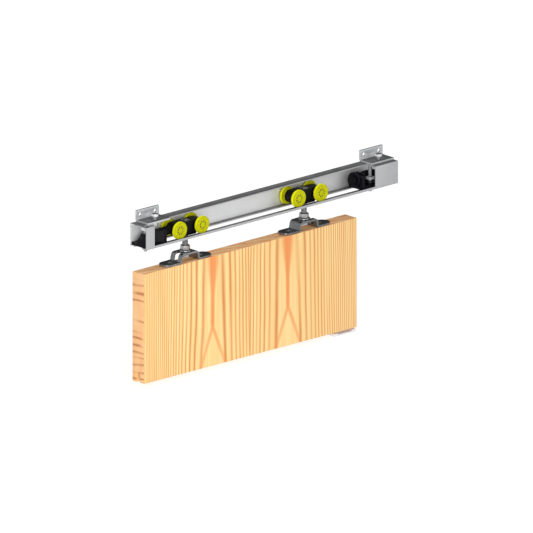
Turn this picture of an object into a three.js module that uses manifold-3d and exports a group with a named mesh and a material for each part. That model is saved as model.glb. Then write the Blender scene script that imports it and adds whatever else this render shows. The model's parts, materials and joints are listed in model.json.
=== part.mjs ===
// Sliding barn door hardware: a box track on wall brackets, two four-wheel trolleys, hanger plates,
// end stops, a grooved door panel and its floor guide.
// Millimetres. X runs along the track, Y points at the wall and Z is up. The origin lies on the wall,
// in the middle of the track's back face. Each part sits on the centre line of the track.
// The front and the top of the track are cut open between its ends, as on a counter display set.

import * as THREE from 'three';
import * as BufferGeometryUtils from 'three/addons/utils/BufferGeometryUtils.js';
import Module from 'manifold-3d';

const wasm = await Module();
wasm.setup();

// Track
const trackLength = 705;
const trackWall = 2.5;
const frontBand = 5;
const leftPost = 23;
const rightBox = 63;
const topBridge = 6;
const topShelf = 23;
const shelfMargin = 4;

// Wall brackets and their bolts
const bracketLength = 63;
const bracketInset = 15;
const bracketThickness = 4;
const legMargin = 13.5;
const bracketRise = 24;
const bracketBend = 5;
const wallHoleRadius = 4.2;
const wallHoleSpacing = 42;
const wallHoleDrop = 10;
const boltRadius = 4;
const boltLift = 6.5;
const boltHeadHeight = 5.5;
const boltHeadWidth = 13;
const boltNutHeight = 6.5;
const boltTail = 1.5;

// End stops
const rightStopInset = 35.4;
const stopLength = 61.6;
const stopBase = 6;
const stopTop = 30;
const leftStopTower = 24;
const rightStopTower = 33;
const stopEdgeHeight = 15;
const stopCrest = [16, 31];
const stopCrestRise = 1;
const stopCrestStep = 2;
const lobeRise = 3;
const stopBoltInset = 20;
const stopPocketFloor = 6;
const stopRecess = 26;
const stopFlange = 5.5;
const stopNutSize = 13;
const clampTail = 11;
const socketDepth = 5;
const pegRadius = 4;
const pegLength = 4;
const noseRim = 2;
const leftNoseLength = 19.4;
const rightNoseLength = 7;

// Trolleys
const wheelRadius = 18.5;
const wheelWidth = 9;
const wheelBase = 62.5;
const wheelEdge = 1.2;
const bearingRadius = 9;
const bearingWidth = 7;
const axleRadius = 4;
const axleHead = 1;
const axleHeadRim = 1.5;
const bodyWall = 2;
const bodyEnd = 13;
const bodyKeel = 40;
const keelFlare = 3;
const keelLift = 0.6;
const trolleySpan = 333;

// Pendant bolts and hanger plates
const pendantRadius = 6;
const pendantDrop = 33;
const pendantTop = 1.5;
const pendantHead = 7.5;
const pendantWidth = 18;
const lockNutHeight = 10;
const bodyNutHeight = 10.5;
const washerRadius = 12;
const washerThickness = 2.4;
const plateLength = 134;
const plateWidth = 32;
const plateThickness = 4;
const plateauLength = 38;
const riserSpread = 5;
const archHeight = 16.5;
const riserSlant = 0.45;
const riserShift = 5;
const screwSpacing = 86;
const screwRadius = 2.2;
const screwHeadRadius = 4.6;
const screwLength = 28;
const screwTip = 4;
const screwNeck = 1.2;
const screwRim = 0.3;

// Door panel and floor guide
const doorLength = 596;
const doorThickness = 35;
const doorHeight = 234;
const grooveWidth = 9.5;
const grooveDepth = 22;
const floorGap = 10;
const guideLength = 60;
const guideWidth = 30;
const guidePlate = 3;
const guideLug = 11;
const guideLugHeight = 6;
const guideLugGap = 3;
const tongueEngagement = 15;
const guideHoleRadius = 2.5;

// Clearances
const fit = 0.3;
const boltClearance = 0.5;
const wheelSideGap = 2;
const wheelHeadroom = 6;
const bodyGap = 0.5;
const slotMargin = 0.5;
const stopSideGap = 2.5;
const pocketGap = 0.5;
const parkedGap = 0.45;
const tongueGap = 1.5;
const overcut = 5;

// Numbers of sides on round pieces
const wheelSides = 28;
const boltSides = 16;
const smallSides = 12;

// Worked out from the sizes above: the trolley body holds the nut, the wheels run beside the body,
// and the track is a box round the wheels.
const bodyWidth = pendantWidth + 2 * bodyWall;
const wheelGauge = bodyWidth + 2 * bodyGap + wheelWidth;
const trackDepth = wheelGauge + wheelWidth + 2 * wheelSideGap + 2 * trackWall;
const trackHeight = 2 * wheelRadius + 2 * trackWall + wheelHeadroom;
const slotWidth = bodyWidth - 2 * slotMargin;
const bracketLeg = trackDepth / 2 + legMargin;
const stopWidth = trackDepth - 2 * trackWall - 2 * stopSideGap;
const stopPocket = stopNutSize + 2 * pocketGap;
const tongueWidth = grooveWidth - 2 * tongueGap;
const trackLeft = -trackLength / 2;
const trackRight = trackLength / 2;
const trackFront = -trackDepth;
const trackTop = trackHeight / 2;
const trackBottom = -trackHeight / 2;
const middle = -trackDepth / 2;
const runway = trackBottom + trackWall;
const ceiling = trackTop - trackWall;
const axleHeight = runway + wheelRadius;
const parkedEnd = stopLength + stopFlange + leftNoseLength + parkedGap;
const leftTrolleyInset = parkedEnd + bodyEnd + wheelBase / 2;
const trolleyCentres = {
  left: trackLeft + leftTrolleyInset,
  right: trackLeft + leftTrolleyInset + trolleySpan,
};
const plateauTop = trackBottom - pendantDrop;
const doorTop = plateauTop - plateThickness - archHeight;
const doorBottom = doorTop - doorHeight;
const ends = {
  left: { stopEdge: trackLeft, inward: 1 },
  right: { stopEdge: trackRight - rightStopInset, inward: -1 },
};

const finishes = {
  aluminium: { color: 0xbfc1c4, roughness: 0.42, metalness: 0.85 },
  zinc: { color: 0xa9adb0, roughness: 0.38, metalness: 0.9 },
  bright: { color: 0xd2d4d6, roughness: 0.25, metalness: 0.95 },
  darkSteel: { color: 0x3c3f41, roughness: 0.4, metalness: 0.8 },
  blackPlastic: { color: 0x121317, roughness: 0.55, metalness: 0 },
  rubber: { color: 0x0b0b0c, roughness: 0.8, metalness: 0 },
  yellowPlastic: { color: 0xd9dc0c, roughness: 0.35, metalness: 0 },
  pine: { color: 0xf0c07c, roughness: 0.6, metalness: 0 },
  whitePlastic: { color: 0xe4e6e8, roughness: 0.5, metalness: 0 },
};

const hardware = new THREE.Group();

function place(name, geometry, finish, position = [0, 0, 0]) {
  const mesh = new THREE.Mesh(geometry, new THREE.MeshStandardMaterial(finishes[finish]));
  mesh.name = name;
  mesh.position.set(...position);
  hardware.add(mesh);
}

// Solids: a three.js shape becomes a manifold solid to be joined or cut, and comes back as a mesh.

function solid(geometry) {
  const bare = geometry.clone();
  bare.deleteAttribute('normal');
  bare.deleteAttribute('uv');
  const merged = BufferGeometryUtils.mergeVertices(bare);
  const corners = merged.index.array;
  const kept = [];
  for (let i = 0; i < corners.length; i += 3) {
    const [a, b, c] = corners.slice(i, i + 3);
    if (a !== b && b !== c && c !== a) kept.push(a, b, c);
  }
  const vertProperties = Float32Array.from(merged.attributes.position.array);
  const triVerts = Uint32Array.from(kept);
  return new wasm.Manifold(new wasm.Mesh({ numProp: 3, vertProperties, triVerts }));
}

function meshOf(body) {
  const { vertProperties, triVerts } = body.getMesh();
  const geometry = new THREE.BufferGeometry();
  geometry.setAttribute('position', new THREE.BufferAttribute(vertProperties, 3));
  geometry.setIndex(new THREE.BufferAttribute(triVerts, 1));
  geometry.computeVertexNormals();
  return geometry;
}

function block([x0, x1], [y0, y1], [z0, z1]) {
  const box = new THREE.BoxGeometry(Math.abs(x1 - x0), Math.abs(y1 - y0), Math.abs(z1 - z0));
  return solid(box.translate((x0 + x1) / 2, (y0 + y1) / 2, (z0 + z1) / 2));
}

// A round bar, or a prism with few sides, from one end to the other along an axis.
function bar(axis, radius, [from, to], [u, v], sides = boltSides) {
  const rod = new THREE.CylinderGeometry(radius, radius, Math.abs(to - from), sides);
  const centre = (from + to) / 2;
  if (axis === 'x') rod.rotateZ(Math.PI / 2).translate(centre, u, v);
  if (axis === 'y') rod.translate(u, centre, v);
  if (axis === 'z') rod.rotateX(Math.PI / 2).translate(u, v, centre);
  return solid(rod);
}

function prism(sides, acrossFlats, span, centre) {
  return bar('z', acrossFlats / 2 / Math.cos(Math.PI / sides), span, centre, sides);
}

function squareBar(size, span, [x, y]) {
  return block([x - size / 2, x + size / 2], [y - size / 2, y + size / 2], span);
}

// An outline drawn in X and Z, drawn out along Y between two depths.
function drawnAlongY(shape, [y0, y1], curveSegments = 6) {
  const depth = Math.abs(y1 - y0);
  const body = new THREE.ExtrudeGeometry(shape, { depth, bevelEnabled: false, curveSegments });
  return solid(body.rotateX(Math.PI / 2).translate(0, Math.max(y0, y1), 0));
}

// An outline drawn in Y and Z, drawn out along X between two places.
function drawnAlongX(shape, [x0, x1], curveSegments = 4) {
  const depth = Math.abs(x1 - x0);
  const body = new THREE.ExtrudeGeometry(shape, { depth, bevelEnabled: false, curveSegments });
  const turn = new THREE.Matrix4().makeBasis(
    new THREE.Vector3(0, 1, 0),
    new THREE.Vector3(0, 0, 1),
    new THREE.Vector3(1, 0, 0),
  );
  return solid(body.applyMatrix4(turn).translate(Math.min(x0, x1), 0, 0));
}

function lathed(points, sides) {
  return solid(new THREE.LatheGeometry(points.map(([r, h]) => new THREE.Vector2(r, h)), sides));
}

function hexNut(acrossFlats, height, radius) {
  return prism(6, acrossFlats, [0, height], [0, 0])
    .subtract(bar('z', radius + fit, [-overcut, height + overcut], [0, 0]));
}

// Track: a box with a slot along its underside, open at the front and top between its ends.

function makeTrack() {
  const whole = [trackLeft, trackRight];
  const through = [trackLeft - overcut, trackRight + overcut];
  const windowEnd = trackRight - rightBox;
  const shelfEdge = middle - boltRadius - shelfMargin;
  let rail = block(whole, [trackFront, 0], [trackBottom, trackTop]);
  rail = rail.subtract(block(through, [trackFront + trackWall, -trackWall], [runway, ceiling]));
  const slot = [middle - slotWidth / 2, middle + slotWidth / 2];
  rail = rail.subtract(block(through, slot, [trackBottom - overcut, runway + 1]));
  rail = rail.subtract(block(
    [trackLeft + leftPost, windowEnd],
    [trackFront - overcut, trackFront + trackWall + 1],
    [trackBottom + frontBand, trackTop + overcut],
  ));
  const underBracket = trackLeft + bracketInset + bracketLength;
  const opening = [ceiling - 1, trackTop + overcut];
  rail = rail.subtract(block(
    [trackLeft + topBridge, underBracket], [trackFront + trackWall, shelfEdge], opening,
  ));
  rail = rail.subtract(block(
    [underBracket - 1, windowEnd], [trackFront + trackWall, -topShelf], opening,
  ));
  for (const x of bracketCentres()) {
    rail = rail.subtract(
      bar('z', boltRadius + boltClearance, [ceiling - 1, trackTop + 1], [x, middle]),
    );
  }
  place('track_rail', meshOf(rail), 'aluminium');
}

// Wall brackets: a folded angle on top of each end of the track, with a bolt down into a nut.

function bracketCentres() {
  return [
    trackLeft + bracketInset + bracketLength / 2,
    trackRight - bracketLength / 2,
  ];
}

function bracketOutline() {
  const inner = bracketBend - bracketThickness;
  const shape = new THREE.Shape();
  shape.moveTo(-bracketLeg, 0);
  shape.lineTo(-bracketBend, 0);
  shape.absarc(-bracketBend, bracketBend, bracketBend, -Math.PI / 2, 0, false);
  shape.lineTo(0, bracketRise);
  shape.lineTo(-bracketThickness, bracketRise);
  shape.lineTo(-bracketThickness, bracketBend);
  shape.absarc(-bracketBend, bracketBend, inner, 0, -Math.PI / 2, true);
  shape.lineTo(-bracketLeg, bracketThickness);
  return shape;
}

function makeBracket(side, x) {
  const seat = trackTop + fit;
  const half = bracketLength / 2;
  let angle = drawnAlongX(bracketOutline(), [-half, half]);
  for (const offset of [-wallHoleSpacing / 2, wallHoleSpacing / 2]) {
    const height = bracketRise - wallHoleDrop;
    angle = angle.subtract(bar('y', wallHoleRadius, [-bracketBend - 2, 2], [offset, height]));
  }
  const legHole = [-2, bracketThickness + 2];
  angle = angle.subtract(bar('z', boltRadius + boltClearance, legHole, [0, middle]));
  place(`${side}_wall_bracket`, meshOf(angle), 'zinc', [x, 0, seat]);

  const headSeat = seat + bracketThickness + boltLift;
  const nutTop = ceiling - fit;
  const tail = nutTop - boltNutHeight - boltTail;
  const shank = bar('z', boltRadius, [tail - headSeat, 1], [0, 0]);
  const head = prism(6, boltHeadWidth, [0, boltHeadHeight], [0, 0]);
  place(`${side}_bracket_bolt`, meshOf(shank.add(head)), 'bright', [x, middle, headSeat]);
  const nut = hexNut(boltHeadWidth, boltNutHeight, boltRadius);
  place(`${side}_bracket_nut`, meshOf(nut), 'zinc', [x, middle, nutTop - boltNutHeight]);
}

// End stops: a block inside each end of the track, jacked between the lips and the ceiling by a
// clamp screw that is turned from below, with a rubber buffer facing the trolley.

const stopStyles = {
  left: {
    towerDepth: leftStopTower, flangeRadius: 9.5, noseRadius: 9, noseLength: leftNoseLength,
    nutSeats: [34, 14], lobes: [],
  },
  right: {
    towerDepth: rightStopTower, flangeRadius: 16.5, noseRadius: bodyWidth / 2,
    noseLength: rightNoseLength, nutSeats: [14.2, 6.6], lobes: [[9, 5.5], [45, 4]],
  },
};
const stopNutHeights = [7, 5];

function makeStop(side) {
  const { stopEdge, inward } = ends[side];
  const { towerDepth, flangeRadius, noseRadius, noseLength, nutSeats, lobes } = stopStyles[side];
  const at = (distance) => stopEdge + inward * distance;
  const foot = runway + fit;
  const front = middle - stopWidth / 2;
  const back = middle + stopWidth / 2;
  const towerBack = front + towerDepth;
  const boltX = at(stopBoltInset);

  const [crestStart, crestEnd] = stopCrest;
  const crestHeight = trackBottom + stopTop + stopCrestRise;
  const slope = new THREE.Shape();
  slope.moveTo(at(0), foot);
  slope.lineTo(at(0), trackBottom + stopEdgeHeight);
  slope.lineTo(at(crestStart), crestHeight);
  slope.lineTo(at(crestEnd), crestHeight);
  slope.lineTo(at(crestEnd + stopCrestStep), trackBottom + stopTop);
  slope.lineTo(at(stopLength), trackBottom + stopTop);
  slope.lineTo(at(stopLength), foot);
  const tower = drawnAlongY(slope, [front, towerBack]);
  const base = block([at(0), at(stopLength)], [front, back], [foot, foot + stopBase]);
  const flangeSpan = [at(stopLength - 1), at(stopLength + stopFlange)];
  let body = tower.add(base).add(bar('x', flangeRadius, flangeSpan, [middle, axleHeight], 24));
  for (const [distance, radius] of lobes) {
    const lobeHeight = trackBottom + stopTop + lobeRise - radius;
    body = body.add(bar('y', radius, [front, towerBack], [at(distance), lobeHeight]));
  }

  // The pocket for the nuts is open at the top and front, and widens towards the front and inwards.
  const pocketBack = middle + stopPocket / 2;
  const pocketOuter = at(stopBoltInset - stopPocket / 2);
  const pocketInner = at(stopBoltInset + stopPocket / 2);
  const mouth = front - overcut;
  const recess = [
    [pocketOuter, mouth], [pocketInner + inward * stopRecess, mouth],
    [pocketInner + inward * stopRecess, front], [pocketInner, pocketBack],
    [pocketOuter, pocketBack],
  ];
  const pocketShape = new THREE.Shape(recess.map(([x, y]) => new THREE.Vector2(x, y)));
  const pocketDepth = trackHeight - stopPocketFloor;
  const pocket = new THREE.ExtrudeGeometry(pocketShape, { depth: pocketDepth, bevelEnabled: false });
  body = body.subtract(solid(pocket.translate(0, 0, trackBottom + stopPocketFloor)));
  const boltHole = [trackBottom, trackTop];
  body = body.subtract(bar('z', boltRadius + fit, boltHole, [boltX, middle]));
  const faceX = at(stopLength + stopFlange);
  const pegSpan = [at(stopLength + stopFlange - pegLength - fit), at(stopLength + stopFlange + 1)];
  body = body.subtract(bar('x', pegRadius + fit, pegSpan, [middle, axleHeight], smallSides));
  place(`${side}_stop_body`, meshOf(body), 'blackPlastic');

  // The buffer is turned about X: a peg for the flange's hole, then a disc with a rounded rim.
  const rim = noseRim * (1 - Math.SQRT1_2);
  const outline = [
    [0, -pegLength], [pegRadius, -pegLength], [pegRadius, fit], [noseRadius, fit],
    [noseRadius, noseLength - noseRim], [noseRadius - rim, noseLength - rim],
    [noseRadius - noseRim, noseLength], [0, noseLength],
  ];
  const buffer = lathed(outline, 24);
  const nose = meshOf(buffer).rotateZ(-inward * Math.PI / 2);
  place(`${side}_stop_buffer`, nose, 'rubber', [faceX, middle, axleHeight]);

  const screwSpan = [trackBottom - clampTail, ceiling - fit];
  const screw = bar('z', boltRadius, screwSpan, [0, 0]);
  const socket = [screwSpan[0] - 1, screwSpan[0] + socketDepth];
  const clamp = screw.subtract(prism(6, boltRadius, socket, [0, 0]));
  place(`${side}_stop_clamp_screw`, meshOf(clamp), 'bright', [boltX, middle, 0]);
  ['upper', 'lower'].forEach((level, i) => {
    const nut = squareBar(stopNutSize, [0, stopNutHeights[i]], [0, 0])
      .subtract(bar('z', boltRadius + fit, [-1, stopNutHeights[i] + 1], [0, 0]));
    const seat = [boltX, middle, trackBottom + nutSeats[i]];
    place(`${side}_stop_${level}_nut`, meshOf(nut), i === 0 ? 'bright' : 'darkSteel', seat);
  });
}

// Trolleys: a moulded body on two axles, four wheels on ball bearings, and a nut sunk in its top.

function trolleyOutline() {
  const half = wheelBase / 2;
  const keel = bodyKeel / 2;
  const keelBottom = runway + keelLift - axleHeight;
  const shape = new THREE.Shape();
  shape.moveTo(-half, -bodyEnd);
  shape.lineTo(-keel - keelFlare, -bodyEnd);
  shape.lineTo(-keel, keelBottom);
  shape.lineTo(keel, keelBottom);
  shape.lineTo(keel + keelFlare, -bodyEnd);
  shape.lineTo(half, -bodyEnd);
  shape.absarc(half, 0, bodyEnd, -Math.PI / 2, Math.PI / 2, false);
  shape.lineTo(-half, bodyEnd);
  shape.absarc(-half, 0, bodyEnd, Math.PI / 2, Math.PI * 1.5, false);
  return shape;
}

function makeTrolley(side) {
  const x = trolleyCentres[side];
  const nutSeat = bodyEnd - bodyNutHeight;
  let body = drawnAlongY(trolleyOutline(), [-bodyWidth / 2, bodyWidth / 2]);
  const axles = { a: -wheelBase / 2, b: wheelBase / 2 };
  for (const offset of Object.values(axles)) {
    body = body.subtract(bar('y', axleRadius + fit, [-bodyWidth, bodyWidth], [offset, 0]));
  }
  body = body.subtract(bar('z', pendantRadius + boltClearance, [-bodyEnd * 2, nutSeat + 1], [0, 0]));
  const pocket = [nutSeat, bodyEnd + overcut];
  body = body.subtract(prism(6, pendantWidth + 2 * fit, pocket, [0, 0]));
  place(`${side}_trolley_body`, meshOf(body), 'blackPlastic', [x, middle, axleHeight]);
  const nut = hexNut(pendantWidth, bodyNutHeight, pendantRadius);
  place(`${side}_trolley_nut`, meshOf(nut), 'zinc', [x, middle, axleHeight + nutSeat + fit]);

  for (const [letter, offset] of Object.entries(axles)) {
    const reach = wheelGauge / 2 + bearingWidth / 2 + fit;
    let axle = bar('y', axleRadius, [-reach - axleHead, reach + axleHead], [0, 0], smallSides);
    for (const end of [-1, 1]) {
      const head = [end * reach, end * (reach + axleHead)];
      axle = axle.add(bar('y', axleRadius + axleHeadRim, head, [0, 0], smallSides));
    }
    place(`${side}_axle_${letter}`, meshOf(axle), 'bright', [x + offset, middle, axleHeight]);
    for (const [face, sign] of [['front', -1], ['back', 1]]) {
      const hub = [x + offset, middle + sign * wheelGauge / 2, axleHeight];
      place(`${side}_wheel_${letter}_${face}`, wheelMesh(), 'yellowPlastic', hub);
      place(`${side}_bearing_${letter}_${face}`, bearingMesh(), 'zinc', hub);
    }
  }
}

function ring(inner, outer, width, edge, sides) {
  const half = width / 2;
  return lathed([
    [inner, -half], [outer - edge, -half], [outer, -half + edge],
    [outer, half - edge], [outer - edge, half], [inner, half], [inner, -half],
  ], sides);
}

function wheelMesh() {
  return meshOf(ring(bearingRadius + fit, wheelRadius, wheelWidth, wheelEdge, wheelSides));
}

function bearingMesh() {
  return meshOf(ring(axleRadius + fit, bearingRadius, bearingWidth, 0.4, boltSides));
}

// Pendant bolts and hanger plates: the bolt's head hangs under the plate's arch, and a lock nut
// and washer clamp the plate against it. The arch is open at one side, so the head slides in.

// One long side of the folded strip, as an offset from its lower face.
function plateSide(offset) {
  const plateau = plateauLength / 2;
  const low = offset;
  const high = archHeight + offset;
  const slant = offset * riserSlant;
  return [
    [plateLength / 2 + overcut, low],
    [plateau + riserSpread + 4 - slant, low],
    [plateau + riserSpread + 1.5 - slant, low + 0.8],
    [plateau + riserSpread - 0.5 - slant, low + 3],
    [plateau + 2.2 - slant, high - 3.4],
    [plateau + 0.5 - slant, high - 0.9],
    [plateau - 2 - slant, high],
  ];
}

function plateOutline() {
  const mirrored = (points) => points.map(([x, z]) => [-x, z]).reverse();
  const upper = plateSide(plateThickness).map(([x, z]) => [x + riserShift, z]);
  const lower = plateSide(0);
  upper[0] = [lower[0][0], plateThickness];
  const loop = [...mirrored(lower).reverse(), ...lower.slice().reverse()];
  const back = [...upper, ...mirrored(upper)];
  return new THREE.Shape([...loop, ...back].map(([x, z]) => new THREE.Vector2(x, z)));
}

function stadium(length, width) {
  const straight = length / 2 - width / 2;
  const shape = new THREE.Shape();
  shape.moveTo(-straight, -width / 2);
  shape.lineTo(straight, -width / 2);
  shape.absarc(straight, 0, width / 2, -Math.PI / 2, Math.PI / 2, false);
  shape.lineTo(-straight, width / 2);
  shape.absarc(-straight, 0, width / 2, Math.PI / 2, Math.PI * 1.5, false);
  return shape;
}

function makeHanger(side) {
  const x = trolleyCentres[side];
  const { inward } = ends[side];
  const outlineHeight = archHeight + plateThickness * 2 + overcut;
  const outline = solid(new THREE.ExtrudeGeometry(stadium(plateLength, plateWidth), {
    depth: outlineHeight, bevelEnabled: false, curveSegments: 8,
  }).translate(0, 0, -overcut / 2));
  let plate = drawnAlongY(plateOutline(), [-plateWidth / 2, plateWidth / 2]);
  plate = plate.intersect(outline);

  // The slot for the bolt runs out through the riser that faces the near end of the track.
  const slotHalf = pendantRadius + boltClearance;
  const slotEnd = -inward * (plateauLength / 2 + riserSpread + riserShift);
  const lift = [plateThickness + 1, archHeight + plateThickness + 1];
  plate = plate.subtract(block([0, slotEnd], [-slotHalf, slotHalf], lift));
  plate = plate.subtract(bar('z', slotHalf, [archHeight - 2, lift[1]], [0, 0]));
  for (const offset of [-screwSpacing / 2, screwSpacing / 2]) {
    const sink = lathed([
      [0, -1], [screwRadius + fit, -1], [screwRadius + fit, screwNeck - fit],
      [screwHeadRadius + fit, plateThickness - screwRim],
      [screwHeadRadius + fit, plateThickness + 1], [0, plateThickness + 1],
    ], boltSides);
    const hole = solid(meshOf(sink).rotateX(Math.PI / 2).translate(offset, 0, 0));
    plate = plate.subtract(hole);
    const shank = [
      [0, -screwLength], [screwRadius, screwTip - screwLength], [screwRadius, screwNeck],
      [screwHeadRadius, plateThickness - screwRim], [screwHeadRadius, plateThickness],
      [0, plateThickness],
    ];
    const screw = meshOf(lathed(shank, smallSides)).rotateX(Math.PI / 2);
    const letter = offset < 0 ? 'a' : 'b';
    place(`${side}_plate_screw_${letter}`, screw, 'bright', [x + offset, middle, doorTop + fit]);
  }
  place(`${side}_hanger_plate`, meshOf(plate), 'darkSteel', [x, middle, doorTop + fit]);

  const seat = plateauTop + fit;
  const washer = bar('z', washerRadius, [0, washerThickness], [0, 0], 24)
    .subtract(bar('z', pendantRadius + fit, [-1, washerThickness + 1], [0, 0]));
  place(`${side}_washer`, meshOf(washer), 'zinc', [x, middle, seat + fit]);
  const nut = hexNut(pendantWidth, lockNutHeight, pendantRadius);
  const nutSeat = seat + washerThickness + 2 * fit;
  place(`${side}_lock_nut`, meshOf(nut), 'zinc', [x, middle, nutSeat]);

  const headTop = plateauTop - plateThickness;
  const tip = axleHeight + bodyEnd + pendantTop;
  const shank = bar('z', pendantRadius, [-1, tip - headTop], [0, 0]);
  const head = prism(6, pendantWidth, [-pendantHead, 0], [0, 0]);
  place(`${side}_pendant_bolt`, meshOf(shank.add(head)), 'zinc', [x, middle, headTop]);
}

// Door panel: solid pine with a groove along its underside for the floor guide's tongue.

function makeDoor() {
  const left = trackLeft;
  const right = left + doorLength;
  const sides = [middle - doorThickness / 2, middle + doorThickness / 2];
  let panel = block([left, right], sides, [doorBottom, doorTop]);
  panel = panel.subtract(block(
    [left - overcut, right + overcut],
    [middle - grooveWidth / 2, middle + grooveWidth / 2],
    [doorBottom - overcut, doorBottom + grooveDepth],
  ));
  for (const centre of Object.values(trolleyCentres)) {
    for (const offset of [-screwSpacing / 2, screwSpacing / 2]) {
      const hole = [doorTop - screwLength - 1, doorTop + 1];
      panel = panel.subtract(
        bar('z', screwRadius + fit, hole, [centre + offset, middle], smallSides),
      );
    }
  }
  place('door_panel', meshOf(panel), 'pine');
}

function makeFloorGuide() {
  const right = trackLeft + doorLength;
  const left = right - guideLength;
  const floor = doorBottom - floorGap;
  const sides = [middle - guideWidth / 2, middle + guideWidth / 2];
  let guide = block([left, right], sides, [floor, floor + guidePlate]);
  for (const [x0, x1] of [[left, left + guideLug], [right - guideLug, right]]) {
    const lug = block([x0, x1], sides, [floor, floor + guideLugHeight]);
    const hole = [floor - 1, floor + guideLugHeight + 1];
    guide = guide.add(lug).subtract(
      bar('z', guideHoleRadius, hole, [(x0 + x1) / 2, middle], smallSides),
    );
  }
  guide = guide.add(block(
    [left + guideLug + guideLugGap, right - guideLug - guideLugGap],
    [middle - tongueWidth / 2, middle + tongueWidth / 2],
    [floor + 1, doorBottom + tongueEngagement],
  ));
  place('floor_guide', meshOf(guide), 'whitePlastic');
}

makeTrack();
const [leftBracket, rightBracket] = bracketCentres();
makeBracket('left', leftBracket);
makeBracket('right', rightBracket);
for (const side of ['left', 'right']) {
  makeStop(side);
  makeTrolley(side);
  makeHanger(side);
}
makeDoor();
makeFloorGuide();

export default hardware;
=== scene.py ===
import json
import math

import bmesh
import bpy
from mathutils import Matrix, Vector


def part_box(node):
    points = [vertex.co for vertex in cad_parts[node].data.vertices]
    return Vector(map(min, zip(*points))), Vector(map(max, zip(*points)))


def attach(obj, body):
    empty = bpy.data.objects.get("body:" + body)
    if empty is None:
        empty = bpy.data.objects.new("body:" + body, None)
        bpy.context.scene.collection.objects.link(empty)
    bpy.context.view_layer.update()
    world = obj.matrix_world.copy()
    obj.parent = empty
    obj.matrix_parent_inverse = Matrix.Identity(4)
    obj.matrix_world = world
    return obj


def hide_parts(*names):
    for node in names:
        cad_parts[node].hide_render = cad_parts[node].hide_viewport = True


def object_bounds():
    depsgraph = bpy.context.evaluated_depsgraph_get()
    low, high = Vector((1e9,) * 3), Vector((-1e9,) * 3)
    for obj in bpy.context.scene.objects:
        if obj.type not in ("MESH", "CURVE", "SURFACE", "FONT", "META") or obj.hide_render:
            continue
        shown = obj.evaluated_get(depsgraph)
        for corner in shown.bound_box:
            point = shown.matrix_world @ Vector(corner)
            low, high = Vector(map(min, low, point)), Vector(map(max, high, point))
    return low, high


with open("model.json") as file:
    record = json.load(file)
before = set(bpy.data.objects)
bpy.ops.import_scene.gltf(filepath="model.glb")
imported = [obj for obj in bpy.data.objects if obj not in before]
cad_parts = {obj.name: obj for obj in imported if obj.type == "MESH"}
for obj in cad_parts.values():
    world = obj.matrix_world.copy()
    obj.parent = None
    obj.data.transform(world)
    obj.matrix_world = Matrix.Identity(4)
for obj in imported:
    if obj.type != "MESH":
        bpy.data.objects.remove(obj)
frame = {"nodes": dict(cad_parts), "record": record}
cadLow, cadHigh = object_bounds()
record = frame["record"]
print("frame loaded with", len(frame["nodes"]), "nodes")

mm = 0.001
mergeGap = 0.002 * mm         # corners nearer than this become one
closeness = 0.01 * mm         # corners within this count as being at the same place
past = 1                      # how far a cutting shape reaches beyond what it cuts, in millimetres
sides = ("left", "right")
bodyOf = {node: body for body, nodes in record["behaviour"]["bodies"].items() for node in nodes}
slotOf = {row["node"]: row["material_slot"] for row in record["subparts"]}


# Shader sums: a wired socket that takes part in Python's own sums.

class Wire:
    def __init__(self, finish, socket):
        self.finish = finish
        self.socket = socket

    def maths(self, operation, first, second):
        made = self.finish.node("ShaderNodeMath", {"operation": operation}, {0: first, 1: second})
        return made["Value"]

    def __add__(self, other):
        return self.maths("ADD", self, other)

    def __radd__(self, other):
        return self.maths("ADD", other, self)

    def __sub__(self, other):
        return self.maths("SUBTRACT", self, other)

    def __rsub__(self, other):
        return self.maths("SUBTRACT", other, self)

    def __mul__(self, other):
        return self.maths("MULTIPLY", self, other)

    def __rmul__(self, other):
        return self.maths("MULTIPLY", other, self)

    def __truediv__(self, other):
        return self.maths("DIVIDE", self, other)

    def __pow__(self, other):
        return self.maths("POWER", self, other)

    def __abs__(self):
        return self.maths("ABSOLUTE", self, 0)

    def waved(self):
        # a wave that goes from 0 to 1 and back once for each whole step
        made = self.finish.node("ShaderNodeMath", {"operation": "SINE"}, {0: self * (2 * math.pi)})
        return made["Value"] * 0.5 + 0.5

    def above(self, edge, softness):
        # 0 below the edge and 1 above it, with a soft step between
        made = self.finish.node(
            "ShaderNodeMapRange", {"interpolation_type": "SMOOTHSTEP"},
            {"Value": self, "From Min": edge - softness, "From Max": edge + softness},
        )
        return made["Result"]


class MadeNode:
    def __init__(self, finish, node):
        self.finish = finish
        self.node = node

    def __getitem__(self, output):
        return Wire(self.finish, self.node.outputs[output])


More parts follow.
